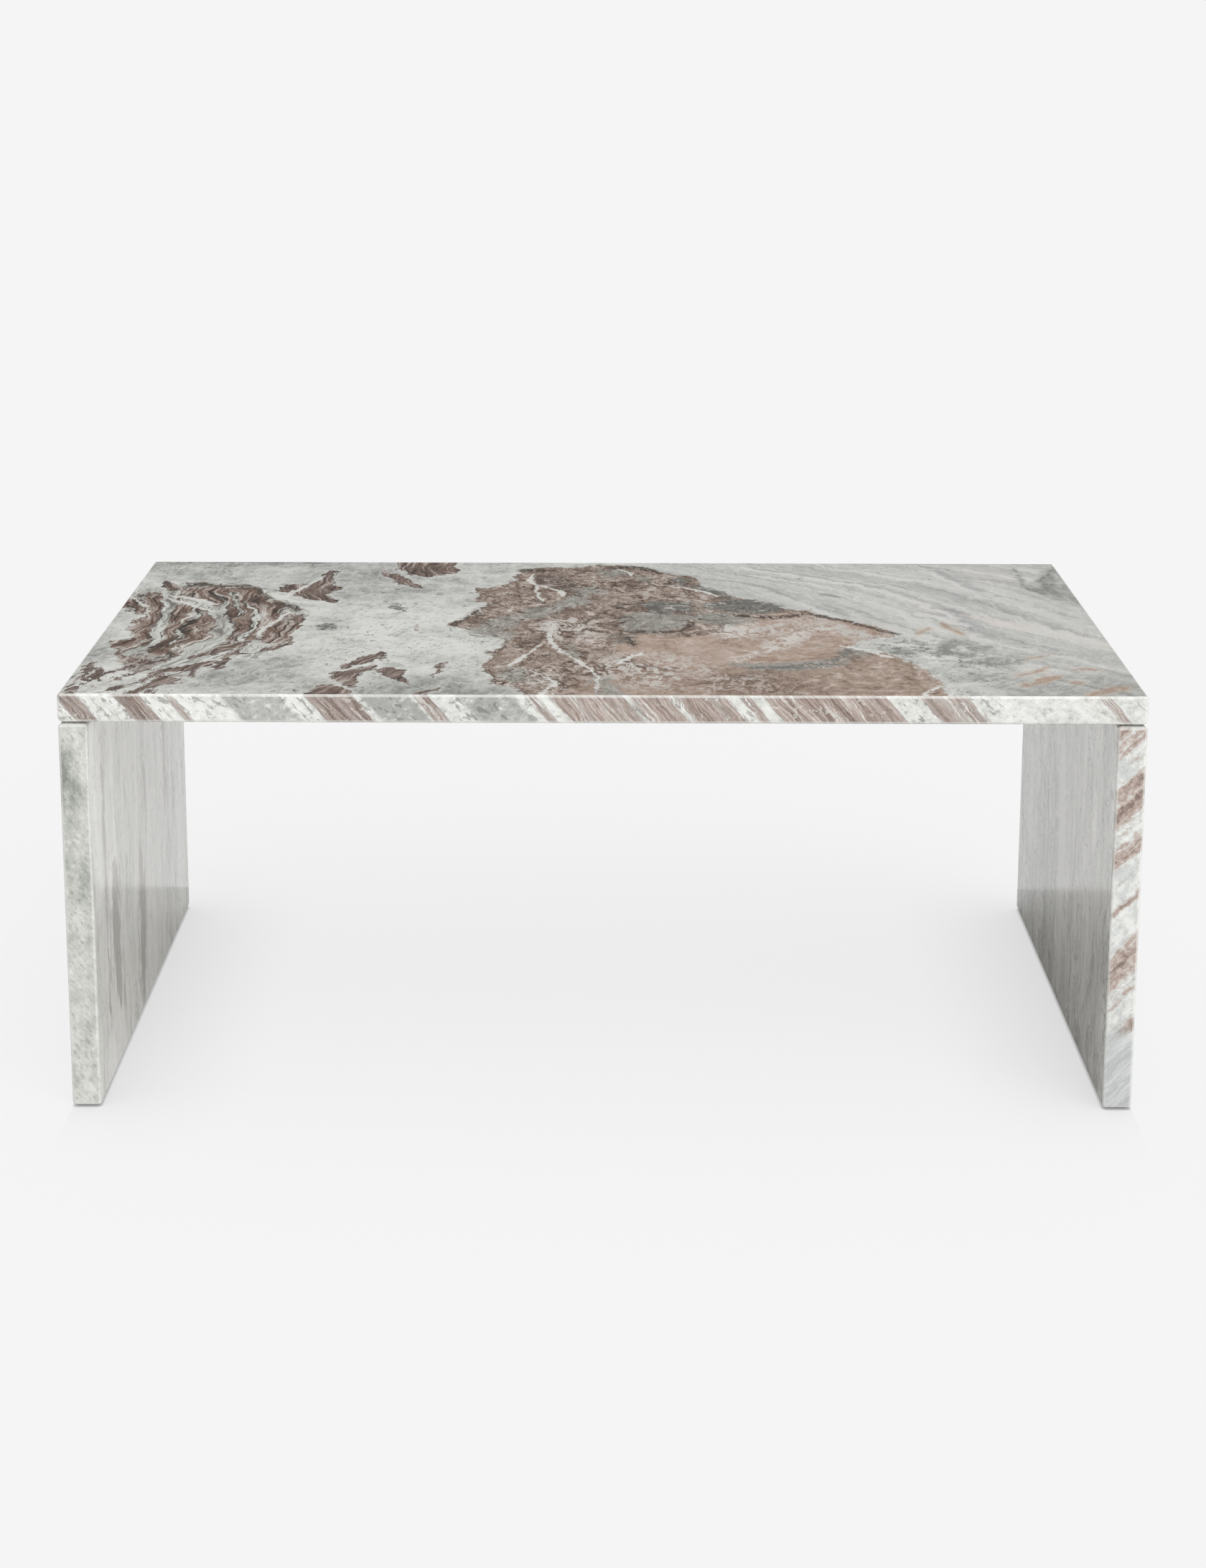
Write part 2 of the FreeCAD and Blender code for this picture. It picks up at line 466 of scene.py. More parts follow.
seam_depth = lines((frayed_x + wave * 0.5, frayed_y), pale_seams) + (thread - 0.5) * 0.007
band_depth = patches(ragged, brown_bands) + (layer - 0.5) * 0.026 + (curl - 0.5) * 0.008 + 0.006
band_depth = band_depth.least(seam_depth * -1.0)
band_colour = pale_layers.covered(band_brown, band_depth.ease(-0.0006, 0.0006))
band_rim = band_depth.ease(-0.0010, 0.0) * band_depth.ease(0.0035, 0.0012)
band_colour = band_colour.covered(dark_outline, band_rim * thread.ease(1.0, 0.45) * 0.90)
cluster_depth = patches(ragged, cluster) + (fleck - 0.5) * 0.016
marble = marble.covered(white, cluster_depth.ease(-0.020, -0.002) * 0.35)
marble = marble.covered(band_colour, cluster_depth.ease(-0.001, 0.001))

# Brown islands beside the cluster and broken strokes before it
islands = [
    [(0.150, -0.509, -0.498), (0.170, -0.519, -0.502), (0.187, -0.523, -0.513)],
    [(0.095, -0.324, -0.305), (0.104, -0.344, -0.312), (0.128, -0.361, -0.321), (0.150, -0.383, -0.309),
     (0.167, -0.384, -0.310), (0.180, -0.351, -0.314), (0.200, -0.343, -0.323), (0.250, -0.330, -0.321)],
    [(0.222, -0.215, -0.203), (0.235, -0.232, -0.186), (0.250, -0.240, -0.174), (0.268, -0.248, -0.180),
     (0.310, -0.250, -0.186)],
    [(0.163, -0.218, -0.208), (0.172, -0.233, -0.208), (0.185, -0.245, -0.226), (0.205, -0.253, -0.231),
     (0.248, -0.263, -0.255)],
    [(-0.197, -0.278, -0.271), (-0.176, -0.266, -0.247), (-0.155, -0.255, -0.233),
     (-0.134, -0.243, -0.234)],
    [(-0.268, -0.257, -0.248), (-0.245, -0.273, -0.254), (-0.222, -0.282, -0.256),
     (-0.193, -0.246, -0.236)],
    [(-0.253, -0.206, -0.200), (-0.228, -0.227, -0.203), (-0.200, -0.238, -0.212)],
    [(-0.330, -0.306, -0.256), (-0.296, -0.300, -0.252), (-0.264, -0.283, -0.273)],
    [(0.003, -0.351, -0.330), (0.022, -0.351, -0.334)],
]
strokes = [
    [(-0.255, -0.529, 0.002), (-0.235, -0.532, 0.005), (-0.205, -0.536, 0.005), (-0.178, -0.539, 0.003)],
    [(-0.205, -0.402, 0.003), (-0.180, -0.400, 0.005), (-0.150, -0.396, 0.005), (-0.120, -0.388, 0.004)],
    [(-0.155, -0.434, 0.003), (-0.135, -0.422, 0.006), (-0.110, -0.408, 0.006), (-0.090, -0.402, 0.003)],
    [(-0.235, -0.424, 0.002), (-0.210, -0.426, 0.004), (-0.185, -0.428, 0.002)],
    [(-0.330, -0.479, 0.011), (-0.297, -0.478, 0.009), (-0.270, -0.463, 0.007), (-0.245, -0.457, 0.007),
     (-0.228, -0.452, 0.003)],
    [(-0.247, -0.515, 0.003), (-0.225, -0.521, 0.005), (-0.203, -0.524, 0.002)],
    [(-0.330, -0.541, 0.006), (-0.297, -0.540, 0.006), (-0.278, -0.537, 0.003)],
    [(-0.330, -0.191, 0.006), (-0.297, -0.184, 0.005), (-0.270, -0.166, 0.003)],
    [(-0.232, -0.176, 0.002), (-0.205, -0.171, 0.003), (-0.172, -0.164, 0.002)],
]
cross_strokes = [
    [(-0.435, -0.159, 0.005), (-0.421, -0.147, 0.009), (-0.411, -0.122, 0.012), (-0.402, -0.109, 0.013),
     (-0.385, -0.090, 0.007)],
    [(-0.462, -0.226, 0.006), (-0.452, -0.208, 0.012), (-0.441, -0.199, 0.013), (-0.427, -0.190, 0.014),
     (-0.415, -0.184, 0.012), (-0.397, -0.171, 0.006)],
    [(-0.466, -0.285, 0.005), (-0.461, -0.252, 0.012), (-0.448, -0.249, 0.010), (-0.441, -0.243, 0.004)],
    [(-0.367, -0.137, 0.003), (-0.358, -0.118, 0.008), (-0.346, -0.109, 0.009), (-0.339, -0.096, 0.005)],
    [(-0.402, -0.159, 0.003), (-0.392, -0.144, 0.005), (-0.376, -0.137, 0.004)],
    [(-0.521, -0.122, 0.006), (-0.507, -0.154, 0.009), (-0.487, -0.172, 0.009), (-0.469, -0.175, 0.008),
     (-0.460, -0.163, 0.008), (-0.453, -0.144, 0.005)],
]
fleck_zone = pool(flat, -0.50, -0.25, 0.13, 0.12)
brown_depth = patches(ragged, islands).most(drawn(ragged, strokes, cross_strokes))
crumbs = (fleck * 0.45 + layer * 0.55 - 1.00 + fleck_zone * 0.41) * 0.02
brown_depth = brown_depth.most(crumbs) + (thread - 0.5) * 0.009
island_brown = thread.tints([
    (0.08, (64, 52, 45)), (0.36, (108, 91, 82)), (0.62, (133, 115, 106)), (0.92, (196, 187, 180)),
])
marble = marble.covered(white, brown_depth.ease(-0.012, -0.001) * 0.40)
marble = marble.covered(island_brown, brown_depth.ease(-0.0008, 0.0008))
island_rim = brown_depth.ease(0.0, 0.001) * brown_depth.ease(0.0050, 0.0025)
marble = marble.covered((74, 62, 55), island_rim * thread.ease(0.90, 0.35) * 0.85)

# The middle field: rough brown to the left and back, plain tan to the right, browner at the front
middle_field = [[
    (-0.340, -0.066, 0.356), (-0.290, -0.083, 0.350), (-0.262, -0.109, 0.347), (-0.225, -0.122, 0.342),
    (-0.175, -0.122, 0.328), (-0.140, -0.118, 0.303), (-0.108, -0.112, 0.268), (-0.085, -0.107, 0.278),
    (-0.050, -0.132, 0.318), (-0.012, -0.167, 0.292), (0.018, -0.155, 0.262), (0.050, -0.141, 0.232),
    (0.085, -0.134, 0.196), (0.100, -0.146, 0.176), (0.150, -0.146, 0.134), (0.170, -0.127, 0.112),
    (0.195, -0.106, 0.114), (0.222, -0.104, 0.106), (0.242, -0.100, 0.076), (0.258, -0.097, 0.058),
    (0.278, -0.020, 0.030),
]]
swirl = (cloud(spot, (0.050, 0.060, 0.12), 3.0, 0.55, 23.0) - 0.5) * 0.045
eddy = (cloud(spot, (0.030, 0.040, 0.12), 3.0, 0.55, 63.0) - 0.5) * 0.070
grain = cloud((x + swirl, y + eddy, z), (0.022, 0.034, 0.12), 6.0, 0.74, 37.0)
fibre = cloud((x + swirl, y - eddy, z), (0.013, 0.016, 0.08), 5.0, 0.72, 41.0)
brushed = cloud((x, y + swirl, z), (0.040, 0.014, 0.10), 5.0, 0.70, 43.0)
field_depth = patches(ragged, middle_field) + (grain - 0.50) * 0.012
rough_brown = grain.tints([
    (0.16, (68, 52, 42)), (0.38, (124, 103, 89)), (0.62, (170, 151, 137)), (0.86, (222, 214, 206)),
])
rough_brown = rough_brown.covered((86, 69, 58), fibre.near(0.42, 0.09) * 0.70)
rough_brown = rough_brown.covered((208, 200, 193), fibre.ease(0.66, 0.90) * 0.70)
pale_net = cloud((x - swirl, y + swirl, z), (0.016, 0.030, 0.10), 4.0, 0.66, 49.0)
rough_brown = rough_brown.covered((206, 199, 192), pale_net.near(0.58, 0.05) * 0.60)
plain_tan = (brushed * 0.7 + fibre * 0.3).tints([
    (0.10, (144, 120, 103)), (0.42, (182, 160, 145)), (0.66, (191, 172, 159)), (0.95, (216, 204, 194)),
])
plain_tan = plain_tan.covered((148, 123, 106), curl.near(0.5, 0.05) * brushed.ease(0.75, 0.35) * 0.75)
front_brown = (brushed * 0.5 + grain * 0.5).tints([
    (0.14, (112, 90, 75)), (0.38, (158, 137, 122)), (0.60, (178, 158, 144)), (0.90, (210, 198, 187)),
])
tan_share = pools(ragged, [(0.16, -0.11, 0.17, 0.12), (0.23, -0.02, 0.10, 0.08)]).ease(0.02, 0.30)
tan_share = tan_share * pool(ragged, 0.08, -0.02, 0.075, 0.05).ease(0.45, 0.10)
front_share = pools(ragged, [(0.18, -0.28, 0.26, 0.12), (0.30, -0.18, 0.10, 0.10)]).ease(0.05, 0.40)
field_colour = rough_brown.covered(plain_tan, tan_share * 0.95).covered(front_brown, front_share * 0.9)
front_shade = pool(ragged, 0.165, -0.255, 0.075, 0.085)
field_colour = field_colour.covered((104, 84, 71), front_shade * fibre.ease(0.62, 0.36) * 0.75)
back_shade = pool(ragged, 0.00, 0.27, 0.12, 0.07)
field_colour = field_colour.covered((104, 86, 74), back_shade * fibre.ease(0.66, 0.36) * 0.60)
marble = marble.covered(field_colour, field_depth.ease(-0.001, 0.001))
dark_brown = (84, 72, 65)
field_rim = field_depth.ease(0.0, 0.001) * field_depth.ease(0.007, 0.003) * x.ease(0.16, 0.02)
marble = marble.covered(dark_brown, field_rim * fibre.ease(0.85, 0.25) * 0.75)
blotches = [
    (0.05, -0.20, 0.09, 0.10), (0.19, -0.02, 0.08, 0.07), (-0.04, -0.03, 0.05, 0.07),
    (0.155, -0.045, 0.05, 0.04), (-0.08, -0.24, 0.05, 0.05),
]
pale_blotch = pools(flat, blotches).most(pool(flat, 0.13, -0.25, 0.06, 0.05) * 0.55)
marble = marble.covered((209, 205, 199), pale_blotch * (grain + fibre * 0.5).ease(0.72, 0.90) * 0.9)

pale_wedge = [[
    (-0.090, 0.274, 0.292), (-0.060, 0.264, 0.300), (-0.030, 0.254, 0.290), (-0.005, 0.244, 0.270),
    (0.020, 0.236, 0.250),
]]
wedge_share = patches(ragged, pale_wedge).ease(-0.005, 0.006) * (grain + fibre).ease(0.70, 1.10)
marble = marble.covered((206, 203, 197), wedge_share * 0.9)

# Dark stain beside the white vein at the back of the field
stain = [[
    (0.118, -0.032, -0.024), (0.145, -0.047, -0.028), (0.165, -0.061, -0.030), (0.185, -0.078, -0.036),
    (0.205, -0.084, -0.040), (0.225, -0.084, -0.055),
]]
stain_share = patches(frayed, stain).ease(-0.006, 0.006) * fibre.ease(1.0, 0.35)
marble = marble.covered((92, 79, 70), stain_share * 0.9)

# Grey inclusions in the field, some pale and some dark
pale_inclusions = [
    [(0.132, -0.026, -0.008), (0.150, -0.032, 0.002), (0.168, -0.026, -0.004)],
    [(-0.024, -0.130, -0.102), (0.008, -0.139, -0.096), (0.030, -0.102, -0.060), (0.055, -0.092, -0.048),
     (0.078, -0.062, -0.024), (0.118, -0.036, -0.016)],
    [(-0.038, 0.026, 0.078), (-0.020, 0.020, 0.088), (0.005, 0.016, 0.098), (0.025, 0.018, 0.110),
     (0.040, 0.030, 0.060)],
    [(-0.004, 0.112, 0.158), (0.015, 0.098, 0.168), (0.036, 0.100, 0.150)],
    [(-0.340, -0.002, 0.022), (-0.265, -0.008, 0.014), (-0.233, -0.010, 0.004)],
    [(0.220, 0.002, 0.022), (0.245, -0.002, 0.030), (0.264, 0.006, 0.022)],
    [(0.190, 0.040, 0.054), (0.222, 0.038, 0.052)],
    [(-0.154, -0.032, -0.023), (-0.128, -0.039, -0.025), (-0.102, -0.043, -0.036)],
    [(-0.250, -0.092, -0.078), (-0.225, -0.105, -0.075), (-0.198, -0.101, -0.086)],
    [(-0.077, -0.112, -0.099), (-0.050, -0.139, -0.103), (-0.028, -0.147, -0.112)],
    [(-0.202, 0.165, 0.205), (-0.190, 0.146, 0.238), (-0.178, 0.130, 0.254), (-0.166, 0.210, 0.258)],
    [(-0.160, 0.247, 0.266), (-0.128, 0.254, 0.280), (-0.116, 0.262, 0.276)],
]
dark_inclusions = [
    [(0.044, 0.052, 0.090), (0.070, 0.040, 0.102), (0.097, 0.036, 0.092)],
    [(0.046, 0.150, 0.192), (0.060, 0.128, 0.207), (0.080, 0.116, 0.206), (0.100, 0.128, 0.182)],
    [(-0.095, 0.024, 0.031), (-0.075, 0.015, 0.030), (-0.052, 0.016, 0.024)],
    [(0.176, 0.090, 0.100), (0.198, 0.081, 0.103), (0.218, 0.080, 0.092)],
    [(0.102, 0.147, 0.154), (0.130, 0.127, 0.145), (0.155, 0.111, 0.133), (0.184, 0.097, 0.106)],
    [(-0.034, -0.316, -0.304), (-0.024, -0.325, -0.299), (-0.014, -0.313, -0.305)],
    [(0.050, -0.232, -0.226), (0.070, -0.242, -0.229), (0.090, -0.241, -0.236)],
]
pale_depth = patches(ragged, pale_inclusions) + (grain - 0.5) * 0.036
pale_inclusion = (fibre * 0.6 + grain * 0.4).tints([
    (0.14, (94, 87, 76)), (0.42, (146, 144, 136)), (0.84, (190, 191, 185)),
])
pale_inclusion = pale_inclusion.covered((112, 99, 86), brushed.near(0.46, 0.06) * 0.70)
pale_inclusion = pale_inclusion.covered((200, 201, 195), brushed.near(0.64, 0.05) * 0.55)
knit = fibre * 0.5 + grain * 0.5
marble = marble.covered(pale_inclusion, pale_depth.ease(-0.003, 0.004) * knit.ease(0.88, 0.56) * 0.92)
dark_depth = patches(ragged, dark_inclusions) + (grain - 0.5) * 0.036
dark_inclusion = fibre.tints([
    (0.05, (66, 66, 62)), (0.45, (108, 108, 103)), (0.95, (152, 150, 143)),
])
marble = marble.covered(dark_inclusion, dark_depth.ease(-0.004, 0.006) * knit.ease(0.90, 0.55) * 0.92)

# Thin dark, grey and faint lines; the cross lists have rows of (x, y, half width)
dark_lines = [
    [(0.128, -0.397, 0.001), (0.142, -0.400, 0.005), (0.156, -0.403, 0.003)],
    [(0.050, -0.346, 0.002), (0.062, -0.352, 0.004), (0.074, -0.361, 0.003), (0.088, -0.374, 0.002)],
    [(0.160, -0.417, 0.002), (0.172, -0.428, 0.003), (0.180, -0.440, 0.002)],
    [(0.170, -0.490, 0.002), (0.182, -0.482, 0.004), (0.187, -0.472, 0.002)],
    [(-0.158, -0.458, 0.001), (-0.145, -0.460, 0.004), (-0.132, -0.464, 0.002)],
    [(-0.050, 0.323, 0.002), (-0.025, 0.300, 0.005), (-0.008, 0.286, 0.006), (0.008, 0.272, 0.006),
     (0.022, 0.254, 0.005), (0.045, 0.232, 0.005), (0.054, 0.225, 0.003)],
    [(-0.102, 0.031, 0.002), (-0.080, 0.029, 0.003), (-0.060, 0.022, 0.003), (-0.048, 0.020, 0.001)],
    [(-0.014, -0.166, 0.003), (0.015, -0.155, 0.003), (0.072, -0.136, 0.002)],
    [(-0.038, 0.086, 0.002), (0.002, 0.101, 0.003)],
]
dark_cross_lines = [
    [(-0.492, 0.160, 0.004), (-0.482, 0.176, 0.008), (-0.468, 0.178, 0.008), (-0.452, 0.168, 0.005),
     (-0.424, 0.171, 0.006), (-0.412, 0.162, 0.008), (-0.400, 0.143, 0.012), (-0.392, 0.124, 0.005),
     (-0.384, 0.106, 0.003)],
    [(-0.378, 0.087, 0.004), (-0.362, 0.077, 0.008), (-0.350, 0.064, 0.009), (-0.343, 0.050, 0.004)],
    [(0.148, 0.036, 0.003), (0.170, 0.028, 0.005), (0.190, 0.026, 0.006), (0.210, 0.030, 0.005),
     (0.230, 0.045, 0.004)],
    [(0.020, -0.040, 0.003), (0.045, -0.041, 0.005), (0.084, -0.039, 0.003)],
    [(-0.098, 0.254, 0.006), (-0.080, 0.257, 0.008), (-0.062, 0.256, 0.004)],
    [(0.008, 0.271, 0.004), (0.025, 0.274, 0.007), (0.045, 0.266, 0.008), (0.060, 0.254, 0.007),
     (0.068, 0.242, 0.003)],
]
grey_forks = [
    [(-0.168, 0.243, 0.002), (-0.150, 0.250, 0.005), (-0.128, 0.261, 0.005), (-0.112, 0.262, 0.002)],
]
grey_cross_forks = [
    [(0.150, -0.192, 0.002), (0.170, -0.191, 0.005), (0.200, -0.188, 0.005), (0.235, -0.176, 0.004),
     (0.262, -0.178, 0.001)],
]
faint_lines = [
    [(0.136, 0.514, 0.002), (0.168, 0.499, 0.003), (0.206, 0.497, 0.002), (0.273, 0.497, 0.001)],
]
faint_cross_lines = [
    [(0.246, 0.147, 0.002), (0.258, 0.136, 0.006), (0.272, 0.125, 0.002)],
    [(0.502, 0.180, 0.002), (0.527, 0.226, 0.004), (0.549, 0.286, 0.002)],
]
line_depth = drawn(frayed, dark_lines, dark_cross_lines)
marble = marble.covered((112, 90, 75), line_depth.ease(-0.009, 0.001) * fibre.ease(0.90, 0.40) * 0.60)
marble = marble.covered((70, 60, 53), line_depth.ease(-0.0012, 0.0012) * fibre.ease(0.85, 0.40) * 0.90)
fork_depth = drawn(frayed, grey_forks, grey_cross_forks) + (fibre - 0.5) * 0.006
marble = marble.covered((104, 103, 97), fork_depth.ease(-0.003, 0.002) * fibre.ease(0.85, 0.45) * 0.75)
faint_depth = drawn(frayed, faint_lines, faint_cross_lines)
faint_share = faint_depth.ease(-0.005, 0.003) * ripple.ease(0.20, 0.70)
marble = marble.covered((128, 128, 122), faint_share * 0.70)

# White veins
white_veins = [
    [(0.122, -0.047, 0.002), (0.150, -0.050, 0.005), (0.165, -0.064, 0.004), (0.185, -0.081, 0.004),
     (0.205, -0.087, 0.004), (0.234, -0.084, 0.002)],
    [(0.100, -0.070, 0.002), (0.125, -0.075, 0.003), (0.180, -0.081, 0.002)],
    [(-0.292, -0.006, 0.001), (-0.250, -0.005, 0.002), (-0.215, -0.008, 0.003), (-0.180, -0.022, 0.004),
     (-0.150, -0.033, 0.002), (-0.118, -0.048, 0.003), (-0.080, -0.057, 0.004), (-0.050, -0.060, 0.005)],
    [(-0.184, -0.099, 0.003), (-0.165, -0.090, 0.005), (-0.150, -0.085, 0.004), (-0.098, -0.066, 0.002)],
    [(-0.340, -0.074, 0.005), (-0.297, -0.062, 0.004), (-0.275, -0.056, 0.002), (-0.256, -0.047, 0.004),
     (-0.240, -0.054, 0.003), (-0.220, -0.066, 0.002), (-0.182, -0.095, 0.002)],
    [(-0.180, 0.014, 0.002), (-0.165, 0.022, 0.005), (-0.150, 0.030, 0.005), (-0.126, 0.045, 0.002)],
    [(0.126, 0.134, 0.002), (0.150, 0.112, 0.005), (0.165, 0.094, 0.005), (0.188, 0.056, 0.002)],
    [(0.230, 0.034, 0.002), (0.245, 0.032, 0.003), (0.264, 0.014, 0.002)],
    [(-0.148, 0.306, 0.003), (-0.125, 0.286, 0.005), (-0.110, 0.271, 0.005), (-0.098, 0.255, 0.003)],
    [(-0.340, 0.312, 0.008), (-0.300, 0.322, 0.006), (-0.262, 0.343, 0.003)],
    [(-0.340, 0.340, 0.006), (-0.282, 0.354, 0.003)],
    [(-0.068, -0.375, 0.002), (-0.042, -0.377, 0.004), (0.000, -0.366, 0.004), (0.050, -0.356, 0.002)],
    [(0.003, -0.526, 0.002), (0.020, -0.519, 0.003), (0.048, -0.517, 0.003), (0.084, -0.530, 0.003),
     (0.117, -0.548, 0.002)],
    [(0.120, -0.368, 0.003), (0.145, -0.360, 0.005), (0.175, -0.349, 0.004), (0.222, -0.332, 0.002)],
]
white_cross_veins = [
    [(-0.514, 0.125, 0.003), (-0.494, 0.117, 0.004), (-0.464, 0.099, 0.006), (-0.442, 0.081, 0.004)],
    [(-0.505, 0.110, 0.003), (-0.469, 0.074, 0.006), (-0.440, 0.045, 0.004)],
    [(-0.398, 0.150, 0.003), (-0.385, 0.128, 0.008), (-0.370, 0.110, 0.008), (-0.352, 0.094, 0.006),
     (-0.318, 0.087, 0.002)],
]
vein_depth = drawn(frayed, white_veins, white_cross_veins) + (fibre - 0.5) * 0.004 - 0.0006
vein_share = vein_depth.ease(-0.0012, 0.0014) * grain.ease(0.0, 0.40)
marble = marble.covered((227, 226, 221), vein_share * 0.92)
white_clouds = [
    [(-0.050, -0.064, -0.052), (-0.030, -0.066, -0.048), (-0.010, -0.066, -0.046),
     (0.006, -0.056, -0.048)],
    [(-0.168, 0.139, 0.144), (-0.140, 0.155, 0.165), (-0.110, 0.172, 0.198), (-0.085, 0.178, 0.212),
     (-0.060, 0.200, 0.224), (-0.012, 0.249, 0.256)],
    [(-0.074, 0.130, 0.138), (-0.055, 0.128, 0.152), (-0.035, 0.132, 0.166), (-0.010, 0.139, 0.152)],
]
cloud_depth = patches(ragged, white_clouds) + (fibre - 0.5) * 0.016
cloud_share = cloud_depth.ease(-0.006, 0.007) * (grain + fibre * 0.5).ease(0.45, 0.85)
marble = marble.covered((217, 212, 206), cloud_share * 0.95)

# Rusty dashes across the front right, and streaks down beside the middle field
rust_dashes = [
    [(0.445, -0.160, 0.001), (0.458, -0.148, 0.003), (0.477, -0.134, 0.001)],
    [(0.431, -0.220, 0.002), (0.450, -0.205, 0.004), (0.469, -0.184, 0.002)],
    [(0.428, -0.261, 0.003), (0.447, -0.244, 0.008), (0.462, -0.231, 0.009), (0.474, -0.226, 0.004)],
    [(0.480, -0.248, 0.003), (0.489, -0.246, 0.004)],
    [(0.490, -0.195, 0.001), (0.505, -0.196, 0.003), (0.521, -0.196, 0.001)],
    [(0.482, -0.310, 0.006), (0.496, -0.290, 0.008), (0.513, -0.276, 0.010), (0.533, -0.266, 0.005)],
]
rust_streaks = [
    [(-0.050, 0.396, 0.002), (-0.021, 0.383, 0.004), (0.001, 0.377, 0.003)],
    [(-0.047, 0.344, 0.002), (-0.024, 0.360, 0.002)],
]
rust_depth = drawn(frayed, rust_streaks, rust_dashes)
marble = marble.covered((204, 188, 170), rust_depth.ease(-0.011, 0.0) * ripple.ease(0.80, 0.35) * 0.60)
marble = marble.covered((175, 148, 128), rust_depth.ease(-0.003, 0.004) * fibre.ease(0.95, 0.40) * 0.85)

# The front edge cuts across the layers, which show there as leaning stripes, brown in some stretches; its
# tones are painted lighter than the top's, as painted light.
bent = (cloud(spot, (0.030, 1.0, 0.022), 3.0, 0.55, 25.0) - 0.5) * 0.006
stripe = cloud((x + bent, y, z), (0.016, 1.0, 0.25), 6.0, 0.75, 15.0)
seam = cloud((x + bent, y, z), (0.0040, 1.0, 0.060), 4.0, 0.70, 27.0)
grit = cloud((slab_x, y, slab_z), (0.009, 1.0, 0.007), 5.0, 0.74, 35.0)
browning = x.along([
    (-0.575, 0.60), (-0.556, 0.25), (-0.549, 0.95), (-0.539, 0.95), (-0.530, 0.30), (-0.498, 0.38),
    (-0.488, 0.95), (-0.470, 0.95), (-0.462, 0.15), (-0.446, 0.15), (-0.438, 0.75), (-0.433, 0.10),
    (-0.308, 0.10), (-0.298, 0.90), (-0.255, 0.85), (-0.246, 0.05), (-0.196, 0.10), (-0.187, 0.95),
    (-0.177, 0.90), (-0.170, 0.10), (-0.090, 0.10), (-0.080, 0.55), (-0.070, 0.75), (-0.062, 0.10),
    (-0.052, 0.75), (-0.040, 0.60), (-0.028, 0.72), (0.016, 0.75), (0.026, 0.48), (0.036, 0.75),
    (0.056, 0.75), (0.068, 0.55), (0.084, 0.75), (0.120, 0.75), (0.130, 0.10), (0.142, 0.70),
    (0.155, 0.15), (0.165, 0.85), (0.280, 0.85), (0.290, 0.15), (0.312, 0.15), (0.324, 0.75),
    (0.342, 0.35), (0.356, 0.75), (0.368, 0.45), (0.380, 0.10), (0.494, 0.08), (0.500, 0.65),
    (0.508, 0.60), (0.516, 0.10),
])
cut_pools = [(-0.357, -0.30, 0.036, 0.5), (-0.120, -0.30, 0.034, 0.5), (-0.220, -0.30, 0.030, 0.5)]
cut_grey = pools(flat, cut_pools).ease(0.0, 0.5)
# Painted light: the edge's pale tones are lighter than the top's, in place of the brighter light on the
# front face.
painted_lit_pale_cut = (grit * (cut_grey * -0.20 + 0.55) + drift * 0.25 + cut_grey * 0.54).tints([
    (0.16, (238, 239, 235)), (0.42, (224, 225, 220)), (0.66, (197, 198, 194)), (0.90, (164, 165, 161)),
])
busy = x.ease(0.44, 0.36) * 0.75 + 0.25
painted_lit_pale_cut = painted_lit_pale_cut.covered((104, 100, 94), speck * busy * 0.55)
painted_lit_pale_cut = painted_lit_pale_cut.covered((150, 132, 122), seam.ease(0.72, 0.95) * x.ease(-0.40, -0.46) * 0.70)
brown_cut = (stripe * 0.30 + seam * 0.65 + grit * 0.20 - 0.07).tints([
    (0.14, (92, 77, 70)), (0.34, (140, 123, 114)), (0.52, (172, 156, 147)), (0.70, (202, 192, 186)),
    (0.86, (238, 236, 232)),
])
brown_cut = brown_cut.shaded(x.ease(-0.10, -0.20) * -0.14 + 0.95)
brown_cut_share = (browning + (stripe - 0.5) * 0.55 + (seam - 0.5) * 0.35 - 0.5).ease(-0.08, 0.14)
painted_lit_stripe_colour = painted_lit_pale_cut.covered(brown_cut, brown_cut_share)
cut_rim = brown_cut_share.ease(0.10, 0.5) * brown_cut_share.ease(0.95, 0.6)
painted_lit_stripe_colour = painted_lit_stripe_colour.covered((112, 98, 90), cut_rim * 0.45)
painted_lit_stripe_colour = painted_lit_stripe_colour.covered((116, 110, 104), grit.ease(0.76, 0.92) * busy * 0.45)
painted_lit_stripe_colour = painted_lit_stripe_colour.covered((236, 235, 231), grit.ease(0.22, 0.10) * 0.50)
# The front edge's stripes, painted lighter for the light that falls on the front.
marble = marble.covered(painted_lit_stripe_colour, front_edge(y) * 0.92)

polish(top_shader, spot, marble, cloud(spot, (0.012, 0.012, 0.012), 3.0, 0.6, 53.0), 0.20)
tabletop.data.materials.append(top_stone)
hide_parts("tabletop")
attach(tabletop, "root")


# Dowels
# Three plain steel pins in each joint, half in the top and half in the leg, set in blind holes with resin.
# They are cut from ground bar, so their sides carry fine lines round the pin.


def plain_finish(shader, noise, dark, light, roughness, drift):
    """Two tones, a roughness that drifts, and fine pits, all by one noise."""
    feed(shader, "Base Color", noise.tints([(0.1, dark), (0.9, light)]))
    feed(shader, "Roughness", noise * drift + roughness)
    feed(shader, "Normal", pitted(noise))


